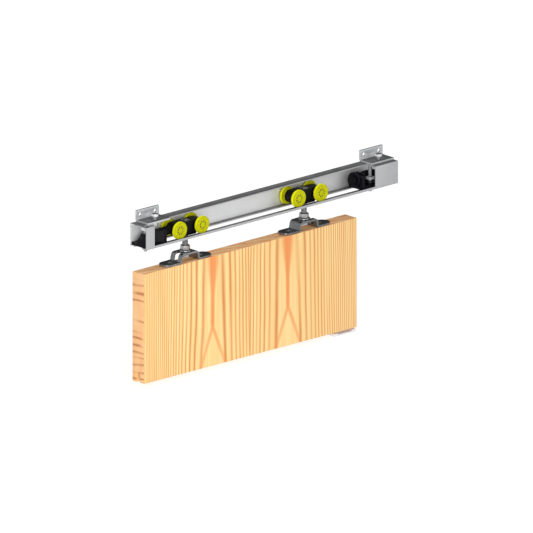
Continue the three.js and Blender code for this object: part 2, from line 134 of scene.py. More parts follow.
class Finish:
    # one material or world, built node by node
    def __init__(self, owner):
        self.owner = owner
        owner.use_nodes = True
        self.tree = owner.node_tree
        self.tree.nodes.clear()

    def node(self, kind, settings=None, sockets=None):
        made = self.tree.nodes.new(kind)
        for name, value in (settings or {}).items():
            if name == "stops":
                ramp = made.color_ramp
                while len(ramp.elements) < len(value):
                    ramp.elements.new(0.5)
                for element, (place, colour) in zip(ramp.elements, value):
                    element.position = place
                    element.color = (*colour, 1)
            else:
                setattr(made, name, value)
        for name, value in (sockets or {}).items():
            if isinstance(value, Wire):
                self.tree.links.new(value.socket, made.inputs[name])
            elif isinstance(value, tuple) and made.inputs[name].type == "RGBA":
                made.inputs[name].default_value = (*value, 1)
            else:
                made.inputs[name].default_value = value
        return MadeNode(self, made)

    def noise(self, scale, detail, roughness):
        # cloudy detail, with so many grains in each metre along X, Y and Z
        place = self.node("ShaderNodeTexCoord")["Object"]
        spot = self.node("ShaderNodeMapping", {}, {"Vector": place, "Scale": scale})["Vector"]
        sockets = {"Vector": spot, "Scale": 1, "Detail": detail, "Roughness": roughness}
        return self.node("ShaderNodeTexNoise", {}, sockets)["Fac"]

    def parts(self, vector):
        made = self.node("ShaderNodeSeparateXYZ", {}, {0: vector})
        return made["X"], made["Y"], made["Z"]

    def blend(self, factor, first, second):
        sockets = {0: factor, 6: first, 7: second}
        return self.node("ShaderNodeMix", {"data_type": "RGBA"}, sockets)[2]

    def ramp(self, factor, stops):
        return self.node("ShaderNodeValToRGB", {"stops": stops}, {"Fac": factor})["Color"]

    def bump(self, height, distance):
        sockets = {"Height": height, "Distance": distance, "Strength": 1.0}
        return self.node("ShaderNodeBump", {}, sockets)["Normal"]

    def surface(self, sockets):
        shader = self.node("ShaderNodeBsdfPrincipled", {}, sockets)["BSDF"]
        self.node("ShaderNodeOutputMaterial", {}, {"Surface": shader})
        return self.owner


def newFinish(name):
    return Finish(bpy.data.materials.new(name))


# Finishes.

metalGrain = {
    "cloud": (38, 38, 38), "speck": (900, 900, 900),
    "tones": (0.28, 0.55, 0.8),                     # where dark, middle and light metal lie
    # paintedLight: how softly the painted light on the track's back wall starts, and its least share
    "bareEdge": 0.002, "bareShare": 0.6,
    # film: which faces count as looking up, how much the painted shade varies, and its near-black
    # colour
    "filmEdge": (0.7, 0.15), "filmSpread": 0.3, "filmColour": (0.035, 0.036, 0.038),
    "grainRough": 0.1, "speckShare": 0.2,
}


def metalFinish(name, look):
    # plated or mill-finish metal: a drawn grain, faint clouding and painted shade that darkens the
    # faces that look up
    f = newFinish(name)
    own = metalGrain
    grain = f.noise(look["grain"], 2, 0.6)
    cloud = f.noise(own["cloud"], 3, 0.55)
    speck = f.noise(own["speck"], 1, 0.5)
    tone = grain * look["grainShare"] + cloud * (1 - look["grainShare"])
    colour = f.ramp(tone, list(zip(own["tones"], (look["dark"], look["middle"], look["light"]))))
    spot = f.node("ShaderNodeTexCoord")
    if "inside" in look:
        # painted light: the wall at the back is painted a brighter metal colour, standing in for the
        # light that reaches into the track
        paintedLight = f.parts(spot["Object"])[1].above(look["insideFrom"], own["bareEdge"])
        share = own["bareShare"] + tone * (1 - own["bareShare"])
        colour = f.blend(paintedLight * share, colour, look["inside"])
    # painted shade: faces that look up are darkened towards a near-black colour, standing in for the
    # dark tops that the lighting gives
    upward = f.parts(spot["Normal"])[2].above(*own["filmEdge"])
    film = look["film"] + (cloud - 0.5) * own["filmSpread"]
    colour = f.blend(upward * film, colour, own["filmColour"])
    rough = look["rough"] + (cloud - 0.5) * look["roughSpread"] + (grain - 0.5) * own["grainRough"]
    height = grain * (1 - own["speckShare"]) + speck * own["speckShare"]
    return f.surface({
        "Base Color": colour,
        "Roughness": rough,
        "Metallic": look["metallic"],
        "Normal": f.bump(height, look["grainDepth"]),
    })


metalLooks = {
    "track_aluminium": {
        "grain": (4, 950, 950), "grainShare": 0.55, "grainDepth": 0.00003,
        "dark": (0.47, 0.475, 0.485), "middle": (0.53, 0.535, 0.545), "light": (0.59, 0.595, 0.60),
        "rough": 0.56, "roughSpread": 0.16, "metallic": 0.55, "film": 0.76,
        # inside: the painted light colour of the track's back wall, from insideFrom on along Y
        "inside": (0.93, 0.935, 0.94), "insideFrom": -0.012,
    },
    "bracket_steel": {
        "grain": (160, 160, 160), "grainShare": 0.5, "grainDepth": 0.00004,
        "dark": (0.60, 0.62, 0.64), "middle": (0.72, 0.74, 0.75), "light": (0.84, 0.85, 0.86),
        "rough": 0.5, "roughSpread": 0.3, "metallic": 0.7, "film": 0.82,
    },
    "zinc_steel": {
        "grain": (300, 300, 300), "grainShare": 0.5, "grainDepth": 0.00003,
        "dark": (0.44, 0.44, 0.45), "middle": (0.60, 0.60, 0.61), "light": (0.76, 0.76, 0.76),
        "rough": 0.28, "roughSpread": 0.2, "metallic": 0.9, "film": 0.75,
    },
    "bright_steel": {
        "grain": (500, 500, 500), "grainShare": 0.4, "grainDepth": 0.00002,
        "dark": (0.78, 0.80, 0.82), "middle": (0.88, 0.89, 0.90), "light": (0.95, 0.95, 0.95),
        "rough": 0.34, "roughSpread": 0.16, "metallic": 0.25, "film": 0.9,
    },
    # painted shade: the bearing steel is coloured near black, so that the holes through the wheel caps,
    # which open onto the bearings, show dark
    "bearing_steel": {
        "grain": (700, 700, 700), "grainShare": 0.4, "grainDepth": 0.00001,
        "dark": (0.10, 0.10, 0.10), "middle": (0.16, 0.16, 0.16), "light": (0.24, 0.24, 0.24),
        "rough": 0.3, "roughSpread": 0.15, "metallic": 0.9, "film": 0.2,
    },
    "dark_steel": {
        "grain": (240, 240, 240), "grainShare": 0.45, "grainDepth": 0.00005,
        "dark": (0.14, 0.145, 0.15), "middle": (0.30, 0.305, 0.31), "light": (0.56, 0.555, 0.55),
        "rough": 0.3, "roughSpread": 0.22, "metallic": 0.9, "film": 0.8,
    },
    # painted highlight: a lighter steel for rounded edges, standing in for the light they catch
    "painted_highlight_edge_steel": {
        "grain": (240, 240, 240), "grainShare": 0.5, "grainDepth": 0.00003,
        "dark": (0.45, 0.44, 0.43), "middle": (0.62, 0.61, 0.60), "light": (0.78, 0.77, 0.76),
        "rough": 0.34, "roughSpread": 0.2, "metallic": 0.7, "film": 0.1,
    },
}


mouldedGrain = {
    "drift": (30, 30, 30), "driftRough": 0.16, "pebbleRough": 0.1, "treadEdge": (0.6, 0.25),
}


def mouldedFinish(name, look):
    # moulded plastic or rubber: a fine pebble and a slow drift of colour
    f = newFinish(name)
    own = mouldedGrain
    pebble = f.noise((look["pebble"],) * 3, 2, 0.6)
    drift = f.noise(own["drift"], 3, 0.5)
    colour = f.blend(drift, look["dark"], look["light"])
    if "tread" in look:
        # painted light: a wheel's tread is painted brighter than its two faces, which look along Y,
        # standing in for the light and highlight that fall on the tread
        across = abs(f.parts(f.node("ShaderNodeTexCoord")["Normal"])[1])
        colour = f.blend(1 - across.above(*own["treadEdge"]), colour, look["tread"])
    rough = look["rough"] + (drift - 0.5) * own["driftRough"] + (pebble - 0.5) * own["pebbleRough"]
    return f.surface({
        "Base Color": colour,
        "Roughness": rough,
        "Specular IOR Level": look["gloss"],
        "Normal": f.bump(pebble, look["pebbleDepth"]),
    })


mouldedLooks = {
    "black_plastic": {
        "pebble": 1500, "pebbleDepth": 0.00004, "rough": 0.46, "gloss": 0.12,
        "dark": (0.002, 0.002, 0.0035), "light": (0.005, 0.005, 0.009),
    },
    "buffer_rubber": {
        "pebble": 1100, "pebbleDepth": 0.00006, "rough": 0.6, "gloss": 0.1,
        "dark": (0.003, 0.003, 0.0035), "light": (0.007, 0.007, 0.008),
    },
    "wheel_plastic": {
        "pebble": 900, "pebbleDepth": 0.00001, "rough": 0.42, "gloss": 0.1,
        # tread: the painted highlight colour of the tread
        "dark": (0.38, 0.38, 0.0), "light": (0.56, 0.56, 0.0), "tread": (0.95, 0.95, 0.0),
    },
    "guide_plastic": {
        "pebble": 1200, "pebbleDepth": 0.00002, "rough": 0.42, "gloss": 0.4,
        "dark": (0.72, 0.74, 0.77), "light": (0.82, 0.83, 0.85),
    },
}

pineLook = {
    "bandOffset": 0.105,                # from the panel's middle to the broad orange bands
    "ringRate": 620,                    # rings, for each square metre of the distance from a band
    "climb": 1.6,                       # how fast a ring leans as it goes up, in rings per metre
    "wobble": (7, 7, 2.2), "wander": 0.015,
    "ripple": (120, 120, 10), "rippleShare": 0.16,
    "sway": (9, 9, 7), "swayShare": 0.5,
    "clear": 0.03, "clearEdge": (0.75, 0.25),           # no rings nearer to a band than this
    "ringSharp": 2.8, "ringFaint": 0.3, "ringDepth": 0.95,
    "strengthEdge": (0.38, 0.2), "streakEdge": (0.5, 0.2),
    "strength": (55, 55, 1.8), "streak": (210, 210, 2.6), "fibre": (1400, 1400, 45),
    "bandHalf": 0.0050,                 # half the width of a band at its waist
    "bandTop": 0.0085,                  # how much wider each half is at the top of the panel
    "flare": (0.045, 0.05),             # where a band is half widened, below the top, and how softly
    "bandDepth": 0.7, "bandStreak": 0.5, "bandSoft": 0.6, "legSoft": 0.7, "apexSoft": 0.01,
    "legSpread": 0.42,                  # how far each leg leans out below the apex, over the drop
    "legHalf": 0.0042, "legDepth": 0.8, "legFade": 5,
    "apexHeight": 0.36,                 # the apex, as a share of the panel's height
    "endLines": 72,                     # lines per metre on the ends
    "endSpread": (4, 8, 22), "endSpreadShare": 1.6, "endLean": 4,
    "endShown": (4, 12, 30), "endShownEdge": (0.64, 0.1), "endSharp": 4, "endDepth": 0.85,
    "endLow": 0.24, "endLowSoft": 0.05, "endCloud": (8, 50, 20),
    "topLean": (34, 95), "topBend": (14, 30, 14), "topBendShare": 2.2, "topWave": 0.56,
    "topCloud": (13, 120, 13), "topEdge": (0.5, 0.25),
    "rough": 0.52, "fibreRough": 0.25, "ringRough": 0.08, "gloss": 0.25,
    "grainDepth": 0.00008, "fibreShare": 0.6,
    "faceEdge": (0.72, 0.12),           # how squarely a face looks along an axis
    "pale": (0.97, 0.70, 0.325),
    "straw": (0.91, 0.58, 0.235),
    "ring": (0.63, 0.235, 0.062),
    "band": (0.82, 0.285, 0.085),
    "end": (0.88, 0.42, 0.17),
    "endLine": (0.46, 0.145, 0.045),
    "top": (0.98, 0.46, 0.19),
    "topPale": (1.0, 0.66, 0.34),
}


def pineFace(f, look, x, z, apex, top):
    # long-grain faces: rings crowd towards the edges, away from the two broad bands
    wobble = f.noise(look["wobble"], 1, 0.5) - 0.5
    ripple = f.noise(look["ripple"], 2, 0.5) - 0.5
    sway = f.noise(look["sway"], 1, 0.5) - 0.5
    away = abs(abs(x + wobble * look["wander"]) - look["bandOffset"])
    ringCount = away * away * look["ringRate"] + z * look["climb"]
    ringCount = ringCount + ripple * look["rippleShare"] + sway * look["swayShare"]
    lateWood = ringCount.waved() ** look["ringSharp"]
    lateWood = lateWood * (away / look["clear"]).above(*look["clearEdge"])
    strength = f.noise(look["strength"], 2, 0.5).above(*look["strengthEdge"])
    streak = f.noise(look["streak"], 3, 0.6)

    # each band is solid above its apex and parts into two legs below it
    flareStart, flareLength = look["flare"]
    flare = (z - top + flareStart).above(0.0, flareLength) * look["bandTop"]
    solid = 1 - (away / (flare + look["bandHalf"])).above(1.0, look["bandSoft"])
    solid = solid * (z - apex).above(0.0, look["apexSoft"])
    drop = f.node("ShaderNodeMath", {"operation": "MAXIMUM"}, {0: apex - z, 1: 0.0})["Value"]
    leg = abs(away - drop * look["legSpread"])
    legs = 1 - (leg / look["legHalf"]).above(1.0, look["legSoft"])
    legs = legs * (apex - z).above(0.0, look["apexSoft"]) * (1 - drop * look["legFade"])
    band = solid * (look["bandDepth"] + streak * look["bandStreak"]) + legs * look["legDepth"]

    shade = look["ringFaint"] + strength * (1 - look["ringFaint"])
    colour = f.blend(streak.above(*look["streakEdge"]), look["pale"], look["straw"])
    colour = f.blend(lateWood * shade * look["ringDepth"], colour, look["ring"])
    return f.blend(band, colour, look["band"]), lateWood


def pineEnd(f, look, y, z, apex):
    # dark lines that run through the panel's thickness, most of them low down
    spread = f.noise(look["endSpread"], 2, 0.5) - 0.5
    count = z * look["endLines"] + spread * look["endSpreadShare"] + y * look["endLean"]
    low = 1 - (z - apex).above(0.0, look["endLowSoft"])
    shown = f.noise(look["endShown"], 1, 0.5) + low * look["endLow"]
    line = count.waved() ** look["endSharp"] * shown.above(*look["endShownEdge"]) * look["endDepth"]
    colour = f.blend(f.noise(look["endCloud"], 2, 0.5), look["end"], look["topPale"])
    return f.blend(line, colour, look["endLine"])


def pineTop(f, look, x, y):
    # slanting streaks
    leanX, leanY = look["topLean"]
    across = x * leanX + y * leanY + f.noise(look["topBend"], 2, 0.5) * look["topBendShare"]
    slant = ((across * 0.5).waved() - 0.5) * look["topWave"] + f.noise(look["topCloud"], 3, 0.55)
    return f.blend(slant.above(*look["topEdge"]), look["top"], look["topPale"])


def pineFinish(name, look):
    # pine in one piece: the faces, the two ends and the top each show their own cut of the rings
    low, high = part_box("door_panel")
    apex = low.z + (high.z - low.z) * look["apexHeight"]
    f = newFinish(name)
    spot = f.node("ShaderNodeTexCoord")
    x, y, z = f.parts(spot["Object"])
    nx, _, nz = f.parts(spot["Normal"])
    colour, lateWood = pineFace(f, look, x - (low.x + high.x) / 2, z, apex, high.z)
    colour = f.blend(abs(nx).above(*look["faceEdge"]), colour, pineEnd(f, look, y, z, apex))
    colour = f.blend(abs(nz).above(*look["faceEdge"]), colour, pineTop(f, look, x, y))
    fibre = f.noise(look["fibre"], 2, 0.6)
    height = fibre * look["fibreShare"] + lateWood * (1 - look["fibreShare"])
    return f.surface({
        "Base Color": colour,
        "Roughness": look["rough"] + (fibre - 0.5) * look["fibreRough"] - lateWood * look["ringRough"],
        "Specular IOR Level": look["gloss"],
        "Normal": f.bump(height, look["grainDepth"]),
    })


finishes = {name: metalFinish(name, look) for name, look in metalLooks.items()}
finishes.update({name: mouldedFinish(name, look) for name, look in mouldedLooks.items()})
finishes["pine"] = pineFinish("pine", pineLook)
print("finishes made:", len(finishes))


# Mesh helpers: lengths are in millimetres here, and each shape is moved to its node.

def spunShape(profile, steps=48, closed=False):
    # a section of (radius, height) points turned about Z
    bm = bmesh.new()
    corners = [bm.verts.new((r * mm, 0, h * mm)) for r, h in profile]
    ring = corners + corners[:1] if closed else corners
    for first, second in zip(ring, ring[1:]):
        bm.edges.new((first, second))
    bmesh.ops.spin(
        bm, geom=bm.verts[:] + bm.edges[:], cent=(0, 0, 0), axis=(0, 0, 1),
        angle=2 * math.pi, steps=steps, use_merge=True,
    )
    return mended(bm)


def mended(bm):
    bmesh.ops.remove_doubles(bm, verts=bm.verts[:], dist=mergeGap)
    bmesh.ops.recalc_face_normals(bm, faces=bm.faces[:])
    return bm


def prismShape(faces, acrossFlats, low, high, turn=0.0):
    bm = bmesh.new()
    radius = acrossFlats / 2 / math.cos(math.pi / faces)
    bmesh.ops.create_cone(
        bm, cap_ends=True, segments=faces, radius1=radius * mm, radius2=radius * mm,
        depth=(high - low) * mm,
        matrix=Matrix.Translation((0, 0, (high + low) / 2 * mm)) @ Matrix.Rotation(turn, 4, "Z"),
    )
    return bm


def blockShape(low, high):
    bm = bmesh.new()
    size = [(b - a) * mm for a, b in zip(low, high)]
    centre = [(a + b) / 2 * mm for a, b in zip(low, high)]
    bmesh.ops.create_cube(bm, size=1, matrix=Matrix.LocRotScale(centre, None, size))
    return bm


def looseObject(bm):
    mesh = bpy.data.meshes.new("loose")
    bm.to_mesh(mesh)
    bm.free()
    made = bpy.data.objects.new("loose", mesh)
    bpy.context.scene.collection.objects.link(made)
    return made


def joined(bm, other, operation="DIFFERENCE"):
    # cuts or joins one shape with another, and uses both up
    base, tool = looseObject(bm), looseObject(other)
    cut = base.modifiers.new("cut", "BOOLEAN")
    cut.operation = operation
    cut.solver = "EXACT"
    cut.object = tool
    result = bmesh.new()
    result.from_object(base, bpy.context.evaluated_depsgraph_get())
    for used in (base, tool):
        mesh = used.data
        bpy.data.objects.remove(used)
        bpy.data.meshes.remove(mesh)
    bmesh.ops.remove_doubles(result, verts=result.verts[:], dist=mergeGap)
    return result


def flattened(bm, angle=0.6):
    # takes away the edges that lie inside flat faces
    bmesh.ops.dissolve_limit(
        bm, angle_limit=math.radians(angle), verts=bm.verts[:], edges=bm.edges[:],
        use_dissolve_boundaries=False,
    )
    return bm


def softened(bm, width, segments=2, angle=40, paintedHighlight=False):
    # rounds every edge that turns by more than the angle; the new faces may take a lighter finish, a
    # painted highlight along the edges
    limit = math.radians(angle)
    sharp = [e for e in bm.edges if len(e.link_faces) == 2 and e.calc_face_angle(0) > limit]
    made = bmesh.ops.bevel(
        bm, geom=sharp, offset=width * mm, segments=segments, profile=0.5, affect="EDGES",
        clamp_overlap=True, material=-1,
    )
    for face in made["faces"] if paintedHighlight else ():
        face.material_index = 1
    return bm


def moved(bm, place, turn=None):
    if turn is not None:
        bmesh.ops.transform(bm, matrix=turn, verts=bm.verts[:])
    bmesh.ops.translate(bm, vec=place, verts=bm.verts[:])
    return bm


def copyOf(node):
    # a merged copy of a frame node's own mesh
    bm = bmesh.new()
    bm.from_mesh(frame["nodes"][node].data)
    bmesh.ops.remove_doubles(bm, verts=bm.verts[:], dist=mergeGap)
    return flattened(bm)


def middleOf(node):
    low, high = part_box(node)
    return (low + high) / 2


def sizeOf(node):
    low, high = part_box(node)
    return (high - low) / mm


def standing(node):
    # the middle of the node's underside, and how tall the node is
    low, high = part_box(node)
    middle = (low + high) / 2
    return Vector((middle.x, middle.y, low.z)), (high.z - low.z) / mm


def finishPiece(bm, node, crease=34):
    # the finished piece stands for its node, rides on its body and takes its slot's finish
    limit = math.radians(crease)
    for face in bm.faces:
        face.smooth = True
    for edge in bm.edges:
        edge.smooth = len(edge.link_faces) == 2 and edge.calc_face_angle(0) < limit
    mesh = bpy.data.meshes.new(node + "_finished")
    bm.to_mesh(mesh)
    bm.free()
    mesh.materials.append(finishes[slotOf[node]])
    # rounded edges marked for the painted highlight take the lighter steel as a second finish
    if any(face.material_index == 1 for face in mesh.polygons):
        mesh.materials.append(finishes["painted_highlight_edge_steel"])
    piece = bpy.data.objects.new(node + "_finished", mesh)
    bpy.context.scene.collection.objects.link(piece)
    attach(piece, bodyOf[node])
    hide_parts(node)
    return piece


# Threads, heads and nuts.

threadLook = {
    "stepsPerTurn": 20, "depth": 0.54, "rootFlat": 0.25, "crestFlat": 0.125,    # in pitches
    "merge": 0.004, "cut": 0.0001,
}


def threadedRod(radius, pitch, low, high, chamfer):
    # one pitch of the section is wound upwards, and both ends are then cut square
    steps = threadLook["stepsPerTurn"]
    turns = math.ceil((high - low) / pitch) + 2
    root = radius - threadLook["depth"] * pitch
    flank = (1 - threadLook["rootFlat"] - threadLook["crestFlat"]) / 2
    crest = threadLook["rootFlat"] + flank
    heights = (0, threadLook["rootFlat"], crest, crest + threadLook["crestFlat"], 1)
    radii = (root, root, radius, radius, root)
    bm = bmesh.new()
    corners = [bm.verts.new((r * mm, 0, h * pitch * mm)) for r, h in zip(radii, heights)]
    for first, second in zip(corners, corners[1:]):
        bm.edges.new((first, second))
    bmesh.ops.spin(
        bm, geom=bm.verts[:] + bm.edges[:], cent=(0, 0, 0), axis=(0, 0, 1),
        angle=2 * math.pi * turns, steps=steps * turns, dvec=(0, 0, pitch * mm / steps),
        use_merge=False,
    )
    bmesh.ops.remove_doubles(bm, verts=bm.verts[:], dist=threadLook["merge"] * mm)
    start = pitch * mm
    for height, up in ((start, -1), (start + (high - low) * mm, 1)):
        bmesh.ops.bisect_plane(
            bm, geom=bm.verts[:] + bm.edges[:] + bm.faces[:], dist=threadLook["cut"] * mm,
            plane_co=(0, 0, height), plane_no=(0, 0, up), clear_outer=True,
        )
        rim = [e for e in bm.edges if len(e.link_faces) == 1
               and all(abs(v.co.z - height) < closeness for v in e.verts)]
        bmesh.ops.contextual_create(bm, geom=rim)
    bmesh.ops.translate(bm, vec=(0, 0, low * mm - start), verts=bm.verts[:])
    # both ends are then turned down to a chamfer
    for vert in bm.verts:
        inset = chamfer - min(high - vert.co.z / mm, vert.co.z / mm - low)
        reach = math.hypot(vert.co.x, vert.co.y)
        allowed = (radius - max(inset, 0)) * mm
        if reach > allowed:
            vert.co.x *= allowed / reach
            vert.co.y *= allowed / reach
    bmesh.ops.recalc_face_normals(bm, faces=bm.faces[:])
    return bm


hexLook = {
    "seatInset": 0.25,        # how much smaller the round seat is than the flats, as a radius
    "margin": 0.3,            # how far the turning cone starts outside the corners
    "slope": 28,              # the cone's angle from level, in degrees
    "nutEdge": 0.18, "headEdge": 0.2, "lead": 0.9, "steps": 60, "boreSteps": 32,
}


def hexBlank(acrossFlats, low, high, lowChamfer=True, highChamfer=True):
    # a hexagon turned down at its corners, as a nut or a bolt head is
    seat = acrossFlats / 2 - hexLook["seatInset"]
    wide = acrossFlats / 2 / math.cos(math.pi / 6) + hexLook["margin"]
    drop = (wide - seat) * math.tan(math.radians(hexLook["slope"]))
    profile = [(0, low)]
    profile += [(seat, low), (wide, low + drop)] if lowChamfer else [(wide, low)]
    profile += [(wide, high - drop), (seat, high)] if highChamfer else [(wide, high)]
    profile += [(0, high)]
    hexagon = prismShape(6, acrossFlats, low - past, high + past)
    return joined(hexagon, spunShape(profile, hexLook["steps"]), "INTERSECT")


def boreCutter(radius, low, high, lead):
    # a hole with a lead-in at both ends
    wide = radius + lead
    return spunShape([
        (0, low - past), (wide + past, low - past), (wide, low), (radius, low + lead),
        (radius, high - lead), (wide, high), (wide + past, high + past), (0, high + past),
    ], hexLook["boreSteps"])


def nutPiece(node, acrossFlats, bore):
    foot, tall = standing(node)
    nut = joined(hexBlank(acrossFlats, 0, tall), boreCutter(bore, 0, tall, hexLook["lead"]))
    finishPiece(moved(softened(nut, hexLook["nutEdge"]), foot), node)


def boltPiece(node, look):
    # a hexagon head and a threaded shank, with the head at the top or at the bottom
    foot, tall = standing(node)
    headHigh = look["head"]
    if look["headUp"]:
        head = hexBlank(look["flats"], tall - headHigh, tall, lowChamfer=False)
        ends = (0, tall - headHigh + past)
    else:
        head = hexBlank(look["flats"], 0, headHigh, highChamfer=False)
        ends = (headHigh - past, tall)
    shank = threadedRod(look["radius"], look["pitch"], *ends, look["chamfer"])
    bolt = joined(softened(head, hexLook["headEdge"]), shank, "UNION")
    finishPiece(moved(bolt, foot), node)


fastenerLook = {
    "pendant": {
        "radius": 6, "pitch": 1.75, "flats": 18, "head": 7.5, "headUp": False, "chamfer": 0.9,
    },
    "bracket": {
        "radius": 4, "pitch": 1.25, "flats": 13, "head": 5.5, "headUp": True, "chamfer": 0.7,
    },
    "boreGap": 0.3, "washerEdge": 0.3, "washerSteps": 64,
}


def makeFasteners(side):
    big, small = fastenerLook["pendant"], fastenerLook["bracket"]
    bore = big["radius"] + fastenerLook["boreGap"]
    boltPiece(f"{side}_pendant_bolt", big)
    boltPiece(f"{side}_bracket_bolt", small)
    for name in ("lock_nut", "trolley_nut"):
        nutPiece(f"{side}_{name}", big["flats"], bore)
    nutPiece(f"{side}_bracket_nut", small["flats"], small["radius"] + fastenerLook["boreGap"])

    node = f"{side}_washer"
    foot, thick = standing(node)
    outer = sizeOf(node).x / 2
    section = [(bore, 0), (outer, 0), (outer, thick), (bore, thick)]
    ring = spunShape(section, fastenerLook["washerSteps"], closed=True)
    finishPiece(moved(softened(ring, fastenerLook["washerEdge"]), foot), node)


# Wheels, bearings and axles.

wheelLook = {
    "steps": 72, "rodSteps": 18,
    "rimRound": 1.5, "rimSegments": 4,      # the rounding of the tread's two edges
    "rimInset": 2.4,                        # how far the rim's back edge is set in
    "rimWall": 2.7, "rimFoot": 3.4,         # the rim's thickness at its edge and at the web
    "webDepth": 0.55, "webBack": (-0.4, 0.5),
    "hubWall": (0.4, 1.2),                  # the hub beyond the cap, at its back and at the web
    "capRadius": 10.1, "capSlope": 0.5, "capDrop": 0.05,
    "groove": (5.4, 5.0, 3.4, 3.0), "grooveDepth": 0.3, "button": 0.15,
    "bearingGap": 0.2, "bearingCover": 0.15,
    "smallHoles": {"count": 8, "radius": 2.0, "circle": 7.4, "below": 0.5},
    "dimples": {"count": 8, "radius": 1.8, "circle": 13.2, "depth": 4.5},
}


def ringOfRods(count, radius, circle, low, high):
    bm = bmesh.new()
    for i in range(count):
        angle = 2 * math.pi * (i + 0.5) / count
        spot = (circle * math.cos(angle) * mm, circle * math.sin(angle) * mm, (low + high) / 2 * mm)
        bmesh.ops.create_cone(
            bm, cap_ends=True, segments=wheelLook["rodSteps"], radius1=radius * mm, radius2=radius * mm,
            depth=(high - low) * mm, matrix=Matrix.Translation(spot),
        )
    return bm


def wheelShape(radius, width, bearingRadius, bearingWidth):
    # turned about Z with its outer face up: a rim, a dished web and a cap over the bearing
    look = wheelLook
    face = width / 2
    web = face - look["webDepth"]
    back = look["rimInset"] - face
    backHub, backRim = look["webBack"]
    bore = bearingRadius + look["bearingGap"]
    under = bearingWidth / 2 + look["bearingCover"]
    cap = look["capRadius"]
    lip = face - look["capDrop"]
    hubBack, hubFoot = look["hubWall"]
    rimInner, rimFoot = radius - look["rimWall"], radius - look["rimFoot"]
    outerEdge, outerFloor, innerFloor, innerEdge = look["groove"]
    groove, button = face - look["grooveDepth"], face + look["button"]
    wheel = spunShape([
        (0, under), (bore, under), (bore, -face), (cap + hubBack, -face),
        (cap + hubFoot, back + backHub), (rimFoot, back + backRim), (rimInner, back),
        (radius, back), (radius, face), (rimInner, face), (rimFoot, web),
        (cap + look["capSlope"], web), (cap, lip), (outerEdge, lip), (outerFloor, groove),
        (innerFloor, groove), (innerEdge, button), (0, button),
    ], look["steps"])
    edges = [e for e in wheel.edges if all(
        abs(math.hypot(v.co.x, v.co.y) - radius * mm) < closeness
        and abs(v.co.z - e.verts[0].co.z) < closeness for v in e.verts)]
    bmesh.ops.bevel(
        wheel, geom=edges, offset=look["rimRound"] * mm, segments=look["rimSegments"], profile=0.5,
        affect="EDGES", clamp_overlap=True, material=-1,
    )
    holes, dimples = look["smallHoles"], look["dimples"]
    for row, low in ((holes, under - holes["below"]), (dimples, web - dimples["depth"])):
        rods = ringOfRods(row["count"], row["radius"], row["circle"], low, face + past)
        wheel = joined(wheel, rods)
    return wheel


bearingLook = {
    "bore": 4.3, "innerRace": 1.3, "outerRace": 1.4, "innerEdge": 0.3, "outerEdge": 0.4,
    "shieldSlope": 0.1, "shieldDepth": 0.5, "steps": 56,
}


def bearingShape(radius, width):
    # two races with a recessed shield between them, the same on both faces
    look = bearingLook
    bore, face = look["bore"], width / 2
    inner, outer = bore + look["innerRace"], radius - look["outerRace"]
    shield = face - look["shieldDepth"]
    upper = [
        (bore, face - look["innerEdge"]), (bore + look["innerEdge"], face), (inner, face),
        (inner + look["shieldSlope"], shield), (outer - look["shieldSlope"], shield),
        (outer, face), (radius - look["outerEdge"], face), (radius, face - look["outerEdge"]),
    ]
    lower = [(r, -h) for r, h in reversed(upper)]
    return spunShape(upper + lower, look["steps"], closed=True)


axleLook = {"radius": 4, "chamfer": 0.6, "coverGap": 1.35, "steps": 32}


def makeWheels(side):
    for letter in "ab":
        for face, turn in (("front", math.pi / 2), ("back", -math.pi / 2)):
            node = f"{side}_wheel_{letter}_{face}"
            ring = f"{side}_bearing_{letter}_{face}"
            wide, thick, _ = sizeOf(node)
            innerWide, innerThick, _ = sizeOf(ring)
            lie = Matrix.Rotation(turn, 4, "X")
            wheel = wheelShape(wide / 2, thick, innerWide / 2, innerThick)
            finishPiece(moved(wheel, middleOf(node), lie), node)
            bearing = bearingShape(innerWide / 2, innerThick)
            finishPiece(moved(bearing, middleOf(ring), lie), ring)
        node = f"{side}_axle_{letter}"
        # the cap on each wheel hides the axle's end, so the axle stops just under it
        reach = sizeOf(node).y / 2 - axleLook["coverGap"]
        radius, chamfer = axleLook["radius"], axleLook["chamfer"]
        axle = spunShape([
            (0, -reach), (radius - chamfer, -reach), (radius, chamfer - reach),
            (radius, reach - chamfer), (radius - chamfer, reach), (0, reach),
        ], axleLook["steps"])
        finishPiece(moved(axle, middleOf(node), Matrix.Rotation(math.pi / 2, 4, "X")), node)


# Folded strips: the wall brackets and the hanger plates.

def foldedStrip(path, bend, width, thickness, turns=8):
    # a strip that follows a path in X and Z, rounded at each fold, thickened away from its face
    bm = bmesh.new()
    corners = [bm.verts.new((x * mm, -width / 2 * mm, z * mm)) for x, z in path]
    for first, second in zip(corners, corners[1:]):
        bm.edges.new((first, second))
    bmesh.ops.bevel(
        bm, geom=corners[1:-1], offset=bend * mm, offset_type="OFFSET", segments=turns,
        profile=0.5, affect="VERTICES", clamp_overlap=True, material=-1,
    )
    made = bmesh.ops.extrude_edge_only(bm, edges=bm.edges[:])
    lifted = [g for g in made["geom"] if isinstance(g, bmesh.types.BMVert)]
    bmesh.ops.translate(bm, vec=(0, width * mm, 0), verts=lifted)
    bmesh.ops.recalc_face_normals(bm, faces=bm.faces[:])
    if sum(face.normal.z for face in bm.faces) < 0:
        bmesh.ops.reverse_faces(bm, faces=bm.faces[:])
    bmesh.ops.solidify(bm, geom=bm.faces[:], thickness=-thickness * mm)
    bmesh.ops.recalc_face_normals(bm, faces=bm.faces[:])
    return bm


